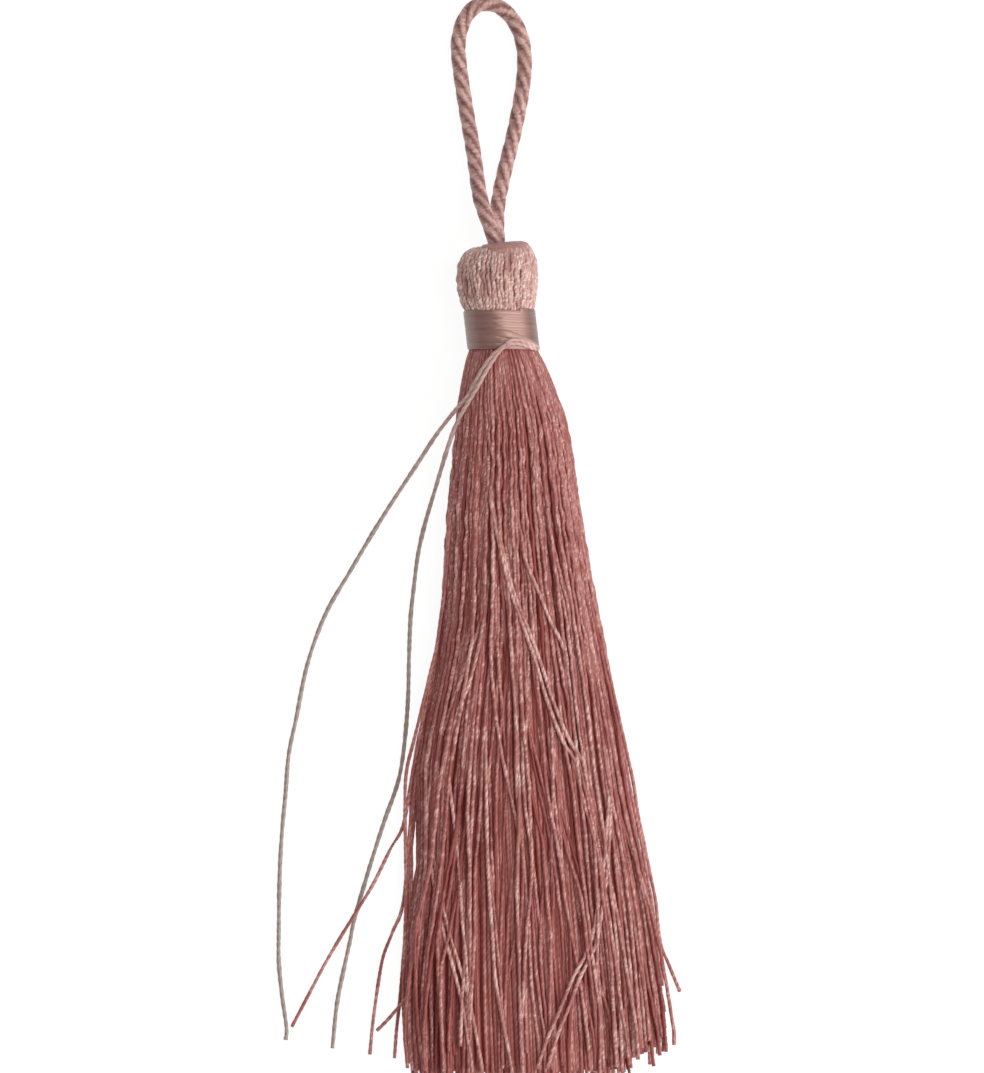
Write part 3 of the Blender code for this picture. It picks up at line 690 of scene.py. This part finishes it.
strays = {  # x, y, z of each thread that leaves the skirt
    "width": 0.5, "lowest": 0.3, "spacing": 0.5, "rings": 200, "tone": 0.95,
    "routes": [
        [(-6, -30, 5), (-7, -42, 3.6), (-9, -54, 2.6), (-11, -64, 1.9), (-12.2, -70.9, 1.55),
         (-13.9, -74.1, 1.4), (-16.1, -78.6, 1.3), (-18.1, -81.9, 1.25), (-20.4, -85.6, 1.05),
         (-22.6, -89.4, 0.5), (-24.6, -93.2, 0.31), (-26.8, -97.4, 0.31)],
        [(-6.2, -34, 3.4), (-8.3, -52, 2.2), (-11, -68, 1.5), (-12.2, -80.8, 0.95), (-13.6, -84.9, 0.6),
         (-14.8, -88, 0.31), (-15.4, -91, 0.31), (-15.9, -94.4, 0.31), (-16.3, -97.6, 0.31),
         (-16.6, -101, 0.31)],
        [(-6.5, -38, 1.6), (-8.7, -54, 0.8), (-10.8, -70, 0.4), (-11.9, -84, 0.31),
         (-12.4, -90.1, 0.31), (-12.7, -94, 0.31), (-13.1, -97.6, 0.31), (-13.4, -101.5, 0.31)],
        [(-6.6, -78, 4.6), (-8.2, -86, 4), (-9.4, -90.2, 3.4), (-10.6, -92.1, 2.8),
         (-12, -93.7, 2), (-13.3, -95.3, 1.1), (-14.4, -96.6, 0.5), (-15.7, -97.9, 0.31)],
        [(-7.9, -48, 3.2), (-10.6, -59, 2.6), (-11.8, -64, 2.2), (-12, -69, 2), (-11.9, -75, 1.9),
         (-11.9, -82, 1.8), (-12.1, -88, 1.7), (-12.2, -94, 1.5), (-12, -99, 1.4)],
        [(-7.8, -50, 1.6), (-10.3, -60, 1.1), (-11.1, -66, 0.9), (-11.25, -71, 0.8), (-11.15, -76, 0.8),
         (-11.3, -82, 0.7), (-11.6, -90, 0.6), (-11.5, -98, 0.5)],
        [(13.5, -46, 3), (15.9, -57, 2), (17.7, -65, 1.2), (18.3, -69, 0.8), (19.1, -72.9, 0.5),
         (19.9, -77, 0.31), (20.7, -80.9, 0.31), (21.3, -86.2, 0.31), (22.5, -89.4, 0.31),
         (23.9, -92.8, 0.31)],
        [(13.8, -50, 2.4), (16.2, -60, 1.8), (17.5, -67, 1.6), (18.8, -73, 1.4), (20, -80, 1.3),
         (20.8, -86, 1.1), (21.6, -92, 0.9)],
        [(17.2, -84, 3), (18.4, -93, 1.6), (19.2, -97.9, 0.7), (19.8, -99.7, 0.4),
         (20, -102.3, 0.31)],
        [(11.5, -88, 4.6), (13.2, -97.5, 2.6), (14.2, -101.7, 0.9), (14.7, -103, 0.5)],
    ],
}


def addCrossings(finish):
    lines = []
    for points in crossings["routes"]:
        places = np.array(points)
        lift = np.full(len(places), crossings["lift"])
        lift[:2] = crossings["rise"]
        if places[-1, 1] > crossings["goesIn"]:
            lift[-2:] = crossings["rise"][::-1]
        height = topHeight(places[:, 0], places[:, 1]) + lift
        lines.append(smoothRoute(np.column_stack([places, height]), crossings["spacing"]))
    for k, side in crossings["doubled"]:
        apart = np.linspace(0.1, 1, len(lines[k]))[:, None] ** 1.5
        lines.append(lines[k] + apart * [side * crossings["apart"], 0.0, 0.0] - [0.0, 0.0, 0.1])
    rings = round(crossings["length"] / skirt["ringStep"])
    addLoose("crossing_threads", lines, rings, skirt["width"], crossings["tone"], finish)


def addStrays(finish):
    lines = [smoothRoute(points, strays["spacing"], strays["lowest"]) for points in strays["routes"]]
    addLoose("stray_threads", lines, strays["rings"], strays["width"], strays["tone"], finish)


def addLoose(name, lines, rings, width, tone, finish):
    lines = np.array([evenSteps(line, rings) for line in lines])
    places, gone = twisted(lines, np.full(lines.shape[:2], width), 2, 4, skirt["waist"], skirt["lay"])
    piece = addThreads(name, places, gone, np.full(gone.shape, tone), finish)
    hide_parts("head_and_skirt")


head = {
    "threads": 70, "width": 0.58, "lay": 1.8, "waist": 0.78,
    "axisHeight": 4.8,
    "neckShift": ([1.0, 3.6, 9.0], [0.0, 0.22, 0.85]),  # depth, and how far it has moved
    "slant": 0.12, "slantOver": 4.0,  # the head's top rises to the right, over so many mm
    "thinnest": 0.35, "thickens": (1.2, 3.0),  # width share in the hole, and the radii where threads thicken
    # y and radius of the fold, from the loop's hole over the shoulder to the neck
    "profile": [
        (2.2, 1.2), (3.3, 1.5), (4.05, 2.1), (4.3, 2.9), (4.05, 3.7), (3.4, 4.35), (2.4, 4.8), (1.2, 5.0),
        (-0.3, 5.0), (-1.8, 4.82), (-3.0, 4.6), (-3.7, 4.35), (-4.6, 3.95), (-6.0, 3.6),
    ],
    # creases: angle from +x in degrees, highest and lowest y, width in radians
    "creases": [
        (108.5, 1.6, -2.8, 0.022), (72.0, 3.6, 0.4, 0.026), (54.0, -2.2, -4.0, 0.026),
        (140.0, 0.5, -3.0, 0.018),
    ],
    "creaseReach": 0.16, "creaseEnds": 0.6, "creaseDepth": 0.12,  # radians to each side, mm, mm
    "spread": (0.15, 0.035),  # round the head in shares of a thread, and outwards in mm
    "outWaves": ([7.0, 3.4, 1.9], [0.06, 0.04, 0.05]),  # lengths and strengths in mm
    "roundWaves": ([11.0, 5.0, 2.2], [0.02, 0.014, 0.012]),  # strengths in radians, as in the next
    "rollWaves": ([8.0, 3.5], [1.2, 0.6]),
    "foldRim": ([-2.6, -1.6, -0.2, 1.3, 1.7, 2.8, 4.2], [4.5, 3.5, 3.0, 3.25, 3.6, 3.5, 4.2]),  # x and y
    "foldOver": 0.3,
    "tone": (1.04, 0.06),  # mean and spread
    "toneWaves": ([4.0], [0.08]),
    # painted shade in the creases
    "creaseShade": 0.3,
}


def neckShift(y):
    # the neck leans to the right of the head
    return np.interp(-y, *head["neckShift"])


def slanted(x, y):
    return y + head["slant"] * x * rising(y, 0, head["slantOver"])


def creased(angle, y):
    # how far the creases push a thread round the head, and how deep it lies
    push, depth = np.zeros(y.shape), np.zeros(y.shape)
    ends = head["creaseEnds"]
    for degrees, top, bottom, width in head["creases"]:
        away = angle - math.radians(degrees)
        near = np.exp(-(away / head["creaseReach"]) ** 2)
        near = near * rising(-y, -top, ends) * rising(y, bottom, ends)
        push = push + width * np.sign(away) * near
        depth = depth + near
    return push, depth


def addHead(finish):
    # each thread follows the profile at its own angle round the head's axis
    profile = smoothRoute([(0.0, y, r) for y, r in head["profile"]], 0.25)
    count = head["threads"]
    each = (count, 1)
    roundSpread, outSpread = head["spread"]
    angle = math.tau * (np.arange(count)[:, None] + dice.uniform(-roundSpread, roundSpread, each)) / count
    y = np.broadcast_to(profile[:, 1], (count, len(profile)))
    push, depth = creased(angle, y)
    radius = profile[:, 2] + slowWave(count, y, *head["outWaves"]) + dice.normal(0, outSpread, each)
    swirl = angle + push + slowWave(count, y, *head["roundWaves"])
    radius = radius - head["creaseDepth"] * depth
    x = neckShift(y) + radius * np.cos(swirl)
    z = head["axisHeight"] + radius * np.sin(swirl)
    lines = np.stack([x, slanted(x, y), np.maximum(z, 0.32)], axis=-1)
    least = head["thinnest"]
    width = head["width"] * (least + (1 - least) * rising(profile[:, 2], *head["thickens"])) * np.ones(each)
    gone = lengthAlong(lines)
    turn = dice.uniform(0, 6.28, each) - math.tau * gone / head["lay"]
    turn = turn + slowWave(count, gone, *head["rollWaves"])
    places = carried(lines, pliedSection(2, 4, head["waist"]), width / 2, turn, headUp(lines))
    tone = dice.normal(*head["tone"], each) + slowWave(count, y, *head["toneWaves"])
    # painted shade: deeper in the creases
    tone = tone - head["creaseShade"] * depth
    piece = addThreads("head_threads", places, gone, tone, finish)
    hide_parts("head_and_skirt")


def foldShare(x, y):
    # 1 on the smooth fold at the top of the head
    rim = np.interp(x, *head["foldRim"])
    return rising(y, rim, head["foldOver"])


def headUp(lines):
    # away from a point low inside the head, so that no thread runs along it
    inside = np.array([0.0, -2.0, head["axisHeight"]])
    return unit(lines - inside)


headCore = {
    "start": (2.2, 0.02),  # y and radius of the closed ends
    "end": (-8.6, 0.02),
    "neck": (-8.6, 3.6),
    "corners": 120,
    "grooves": ([2.2, 3.2], [-0.14, 0.15]),  # y, and how far it stands out from the profile
    "foldOut": 0.21,  # more on the smooth fold
    # painted shade: deep, and a little less so near the top
    "tone": ([2.2, 3.0, 3.6], [0.74, 0.74, 0.82]),
}


def addHeadCore(finish):
    # A closed core that fills the grooves: the profile turned round the head's axis and moved along its
    # normal (dr, -dy) / length, past the threads on the smooth fold.
    profile = smoothRoute([(0.0, y, r) for y, r in head["profile"]], 0.2)
    ends = np.array([headCore["start"], headCore["neck"], headCore["end"]])
    y = np.concatenate([ends[:1, 0], profile[:, 1], ends[1:, 0]])[:, None]
    radius = np.concatenate([ends[:1, 1], profile[:, 2], ends[1:, 1]])[:, None]
    out = unit(np.stack([np.gradient(profile[:, 2]), -np.gradient(profile[:, 1])], axis=1))
    out = np.concatenate([[[0, 0]], out, [[0, 0], [0, 0]]])
    angle = np.linspace(0, math.tau, headCore["corners"], endpoint=False)
    fold = foldShare(neckShift(y) + radius * np.cos(angle), y + head["slant"] * radius * np.cos(angle) - 0.1)
    past = np.interp(y, *headCore["grooves"]) + headCore["foldOut"] * fold * (np.sin(angle) > -0.3)
    yOut, rOut = y + past * out[:, :1], radius + past * out[:, 1:]
    x = neckShift(yOut) + rOut * np.cos(angle)
    z = np.maximum(head["axisHeight"] + rOut * np.sin(angle), 0.3)
    places = np.stack([x, slanted(x, yOut), z], axis=-1)[None]
    tone = np.interp(y[:, 0], *headCore["tone"])[None]
    piece = addThreads("head_core", places, np.zeros((1, len(y))), tone, finish)
    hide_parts("head_and_skirt")


binding = {
    "top": -3.95, "bottom": -9.05, "turns": 15, "radius": 4.52, "axisHeight": 4.8,
    "thickness": 0.36, "lap": 2.1,  # of the floss, and its width in turns
    "steps": 64, "corners": 12, "lowest": 0.06,
    "start": 0.6, "stop": 2.0,  # angles left out of the first and the last turn
    "turnWaves": ([9.0, 23.0], [0.03, 0.03]),
    "tone": 0.92,
    "toneWaves": ([60.0, 17.0], [0.07, 0.05]),
    "right": (0.6, 0.2), "left": (0.1, 0.6), "highlightBand": (-0.12, 0.09),  # start and span, in radii across, of the painted shade at the sides and of the painted highlight band
    "rightShade": 0.95, "leftShade": 0.10,  # painted shade: how much deeper it is at the sides
    "highlightTone": 0.62,  # painted highlight: how much paler to the right of a ragged edge near the middle
    "edgeWaves": ([37.0, 71.0], [0.05, 0.05]),
}

lastTurn = {  # runs askew over the others from the lower right
    "route": [
        (5.2, -8.85), (4.4, -8.45), (3.3, -7.95), (2.1, -7.45), (1.0, -7.15), (0.0, -7.0), (-0.9, -6.95),
    ],
    "out": [0.2, 0.24, 0.25, 0.25, 0.22, 0.12, -0.05],  # past the binding's radius
    "spacing": 0.2,
    "halfWidth": 0.5,
    "halfThickness": 0.14,
    # painted highlight: paler where it crosses the binding's bright band
    "tone": ([0, 2, 5, 7], [1.1, 1.6, 1.5, 1.0]),
}

floss = {
    "light": colour(0.36, 0.20, 0.175), "deep": colour(0.235, 0.115, 0.098),
    "roughness": 0.27, "streakRoughness": 0.12,
    "fibres": 36, "screw": 0.05,  # round the floss, and passed in each mm
    "streaks": (30.0, 0.12),  # noise round the floss, and in each mm along it
    "strandLight": 0.2, "streakLight": 1.1, "fall": 0.15,
    "relief": (0.4, 0.6),  # heights of fibres and streaks in the bump
    "bump": (0.25, 0.00003),  # strength, and distance in metres
    "depth": (1.0, 1.2),
}


def flossFinish():
    # smooth floss: fine lines along each turn
    finish, wire = newFinish("bindingFloss")
    around, along, tone = threadPlace(wire)
    strand = (around * floss["fibres"] + along * floss["screw"]).wave()
    across, lengthwise = floss["streaks"]
    stretched = wire.node("CombineXYZ", {}, {"X": around * across, "Y": along * lengthwise})
    streak = wire.node("TexNoise", {}, {"Vector": stretched, "Scale": 3.0, "Detail": 3.0})
    lit = (strand * floss["strandLight"] + streak * floss["streakLight"] - floss["fall"]).within()
    strandHeight, streakHeight = floss["relief"]
    height = strand * strandHeight + streak * streakHeight
    pink = lit.blend(floss["deep"], floss["light"])
    closeFinish(wire, floss, pink, tone, height, {
        "Roughness": floss["roughness"] + streak * floss["streakRoughness"],
        "IOR": 1.60, "Specular IOR Level": 0.8, "Specular Tint": colour(1.0, 0.78, 0.72),
    })
    return finish


def flossBand(line, halfWidth, halfThickness, outwards):
    # a flat floss along a line, its thickness turned outwards
    section = pliedSection(1, binding["corners"], 1.0) * np.array([halfWidth, halfThickness])
    return carried(line, section, np.ones(line.shape[:2]), np.zeros(line.shape[:2]), outwards)


def addBinding(finish):
    # a flat floss in a screw round the neck: y falls evenly with the angle
    turns, radius = binding["turns"], binding["radius"]
    angle = np.linspace(binding["start"], math.tau * turns - binding["stop"], turns * binding["steps"])
    pitch = (binding["bottom"] - binding["top"]) / turns
    y = binding["top"] + pitch * (angle / math.tau) + pitch / 2
    y = np.clip(y, binding["bottom"] + 0.2, binding["top"] - 0.2)
    y = y + slowWave(1, angle[None], *binding["turnWaves"])[0]
    x, z = neckShift(y) + radius * np.sin(angle), binding["axisHeight"] + radius * np.cos(angle)
    line = np.stack([x, y, z], axis=-1)[None]
    outwards = np.stack([np.sin(angle), np.zeros_like(angle), np.cos(angle)], axis=-1)[None]
    places = flossBand(line, abs(pitch) * binding["lap"] / 2, binding["thickness"] / 2, outwards)
    places[..., 2] = np.maximum(places[..., 2], binding["lowest"])
    gone = lengthAlong(line)
    # painted shade at the sides, and a painted highlight to the right of a ragged edge near the middle
    right, left = rising(np.sin(angle), *binding["right"]), rising(-np.sin(angle), *binding["left"])
    highlightBand = rising(np.sin(angle) + slowWave(1, gone, *binding["edgeWaves"]), *binding["highlightBand"])
    tone = binding["tone"] + slowWave(1, gone, *binding["toneWaves"])
    tone = tone - binding["rightShade"] * right - binding["leftShade"] * left + binding["highlightTone"] * highlightBand
    piece = addThreads("binding_turns", places, gone, tone, finish)
    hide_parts("binding")


def addLastTurn(finish):
    route = np.array(lastTurn["route"])
    away = binding["radius"] + np.array(lastTurn["out"])
    across = route[:, 0] - neckShift(route[:, 1])
    height = binding["axisHeight"] + np.sqrt(np.maximum(away**2 - across**2, 0))
    line = smoothRoute(np.column_stack([route, height]), lastTurn["spacing"])[None]
    outwards = unit(line * [1.0, 0.0, 1.0] - [0.6, 0.0, binding["axisHeight"]])
    places = flossBand(line, lastTurn["halfWidth"], lastTurn["halfThickness"], outwards)
    gone = lengthAlong(line)
    addThreads("binding_last_turn", places, gone, np.interp(gone, *lastTurn["tone"]), finish)


loop = {
    "diameter": 2.0, "plies": 4, "lay": 9.6, "plyRadius": 0.68,
    "reach": 0.33,  # of a ply's middle from the cord's
    "step": 0.32, "corners": 16,
    "toneWaves": ([9.0, 3.1], [0.05, 0.05]),
    "route": [  # the same points as the solid's, with each end carried on into the head
        (-0.3, 3.6, 6), (-0.3, 4.75, 6), (-0.45, 5.6, 6), (-0.95, 7, 5.95), (-1.65, 8.9, 5.6),
        (-2.3, 11.2, 4.9), (-3.1, 16.9, 2.7), (-4.1, 22.8, 1.25), (-4.85, 27.9, 1), (-5.05, 31, 1),
        (-4.45, 33.7, 1), (-3.2, 35.5, 1), (-1.5, 36.2, 1), (0.4, 35.7, 1), (2, 34.2, 1),
        (3.15, 31.9, 1), (3.6, 28.8, 1), (3.25, 24.6, 1), (2.2, 19.2, 1), (1.05, 14.6, 1.4),
        (0.3, 11, 2.4), (0, 8.6, 3.2), (0, 6.6, 3.55), (0.05, 5.6, 3.6), (0.05, 4.75, 3.6),
        (0.05, 3.6, 3.6),
    ],
}

# painted highlight in narrow bands on the crests of the plies, and painted shade in the deep grooves between
# them
cordLook = dict(silk, light=colour(0.64, 0.405, 0.37), deep=colour(0.15, 0.048, 0.043), roughness=0.32,
                fibres=20, crests=0.62, sharp=12.0, ridge=0.0, beadHighlight=0.8, specks=(13.0, 1.5),
                depth=(1.0, 1.2), through=colour(0.006, 0.002, 0.002))


def addLoop(finish):
    # each ply is a tube round route + reach * (cos turn * side + sin turn * upright)
    route = smoothRoute(loop["route"], loop["step"], loop["reach"] + loop["plyRadius"])[None]
    gone = lengthAlong(route)
    start = math.tau * np.arange(loop["plies"])[:, None] / loop["plies"]
    turn = start + math.tau * gone / loop["lay"]
    side, upright = sides(route)
    lines = route + loop["reach"] * (np.cos(turn)[..., None] * side + np.sin(turn)[..., None] * upright)
    width = np.full(turn.shape, 2 * loop["plyRadius"])
    places = carried(lines, pliedSection(1, loop["corners"], 1.0), width / 2, turn)
    tone = 1.0 + slowWave(loop["plies"], gone, *loop["toneWaves"])
    each = np.repeat(gone, loop["plies"], axis=0)
    piece = addThreads("hanging_cord", places, each, tone, finish)
    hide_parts("hanging_loop")
    print("loop cord", round(gone[0, -1], 1), "mm long")


ties = {
    "diameter": 0.6, "lay": 2.4, "waist": 0.84, "step": 0.3, "turnStep": 0.25, "lowest": 0.3,
    "tone": ([0.0, 12.0, 35.0], [1.0, 0.92, 0.74]),  # painted shade: it greys away from the neck
    "tie_thread_long": [
        (1.7, -8.1, 9.85), (0.7, -8.9, 9.85), (-0.7, -10.1, 9.7), (-2.1, -12.1, 9.3), (-3, -13.9, 8.9),
        (-3.9, -15.4, 8.3), (-5.4, -17, 7), (-7.8, -20, 4.5), (-10.2, -23.6, 2.1),
        (-12.2, -26.6, 0.8), (-14.3, -29.8, 0.35), (-16.4, -33.2, 0.3), (-19.3, -38.1, 0.3),
        (-22, -42.7, 0.3), (-23.8, -47, 0.3), (-25.1, -51.4, 0.3), (-26.2, -57, 0.3),
        (-27.2, -61.8, 0.3), (-27.6, -66.7, 0.3), (-28.1, -72.2, 0.3), (-28.4, -78, 0.3),
        (-28.5, -84.6, 0.3), (-28.5, -88.8, 0.3), (-28.1, -93.1, 0.3), (-27.5, -97.5, 0.3),
        (-27.6, -99.1, 0.3),
    ],
    "tie_thread_short": [
        (1.7, -8.5, 9.85), (0.5, -9.2, 9.85), (-0.75, -10.9, 9.7), (-1.75, -12.6, 9.5),
        (-2.75, -14.4, 9.2), (-3.9, -16.3, 8.5), (-5.2, -18.6, 7.1), (-6.4, -21.8, 5.5),
        (-8, -27, 2.6), (-9.4, -31.7, 0.9), (-10.3, -35.6, 0.35), (-10.9, -40.3, 0.3),
        (-11.3, -44.2, 0.3), (-11.5, -49.4, 0.3), (-11.6, -54, 0.3), (-11.9, -58.5, 0.3),
        (-12.4, -62.8, 0.3), (-13.1, -66, 0.3), (-14.6, -70.2, 0.3), (-16.1, -74.8, 0.3),
        (-17.2, -78.4, 0.3), (-18.6, -83.2, 0.3), (-19.2, -86.2, 0.3), (-19.9, -89.4, 0.3),
        (-20.9, -94.4, 0.3), (-21.5, -100.2, 0.3),
    ],
}

tieLook = dict(silk, light=colour(0.92, 0.65, 0.60), deep=colour(0.48, 0.28, 0.25), roughness=0.36, fibres=8,
               crests=0.2, beadHighlight=0.4, depth=(1.5, 0.6), through=colour(0.004, 0.003, 0.003))


def addTies(finish):
    for name, node in (("tie_thread_long", "tie_end_long"), ("tie_thread_short", "tie_end_short")):
        route = smoothRoute(ties[name], ties["step"], ties["diameter"] / 2)[None]
        places, gone = tieThread(route)
        places[..., 2] = np.maximum(places[..., 2], 0.0)
        piece = addThreads(name, places, gone, np.interp(gone, *ties["tone"]), finish)
        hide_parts(node)
        gone[0, -1] * mm
        print(name, round(gone[0, -1], 1), "mm long")


def tieThread(route):
    return twisted(route, np.full(route.shape[:2], ties["diameter"]), 2, 4, ties["waist"], ties["lay"])


tieTurns = {  # the tie along the binding's lower edge, from which its free ends come
    "tie_turn_long": [
        (1.2, -8.4, 9.85), (1.7, -8.1, 9.85), (2.6, -7.95, 9.5), (3.6, -8.2, 8.8), (4.6, -8.6, 7.6),
        (5.2, -8.8, 6), (5.25, -8.9, 4.6), (4.7, -9, 2.6), (3.4, -9, 1), (1.4, -9, 0.4),
    ],
    "tie_turn_short": [
        (1.2, -8.75, 9.85), (1.7, -8.5, 9.85), (2.6, -8.45, 9.5), (3.7, -8.7, 8.7), (4.7, -9, 7.3),
        (5.2, -9.15, 5.4), (4.9, -9.3, 3.4), (3.6, -9.3, 1.6),
    ],
}


def addTieTurns(finish):
    for name, points in tieTurns.items():
        places, gone = tieThread(smoothRoute(points, ties["turnStep"], ties["lowest"])[None])
        addThreads(name, places, gone, np.full(gone.shape, 1.0), finish)


addCamera()
addLamps()
addSurround()
addLoop(threadFinish("loopCord", cordLook, 1, loop["lay"]))
tieFinish = threadFinish("tieThread", tieLook, 2, ties["lay"])
addTies(tieFinish)
addTieTurns(tieFinish)
print("cords done")
silkFinish = threadFinish("silkyThread", silk, 2, skirt["lay"])
foldFinish = threadFinish("foldedThread", foldSilk, 2, head["lay"])
addHeadCore(threadFinish("foldedBand", bandSilk, 60, head["lay"]))
addHead(foldFinish)
bindingFinish = flossFinish()
addBinding(bindingFinish)
addLastTurn(bindingFinish)
print("head and binding done")
addSkirt(silkFinish)
addSkirtCore(threadFinish("innerThread", innerSilk, 2, skirt["lay"]))
addCrossings(silkFinish)
addStrays(silkFinish)
print("skirt done")
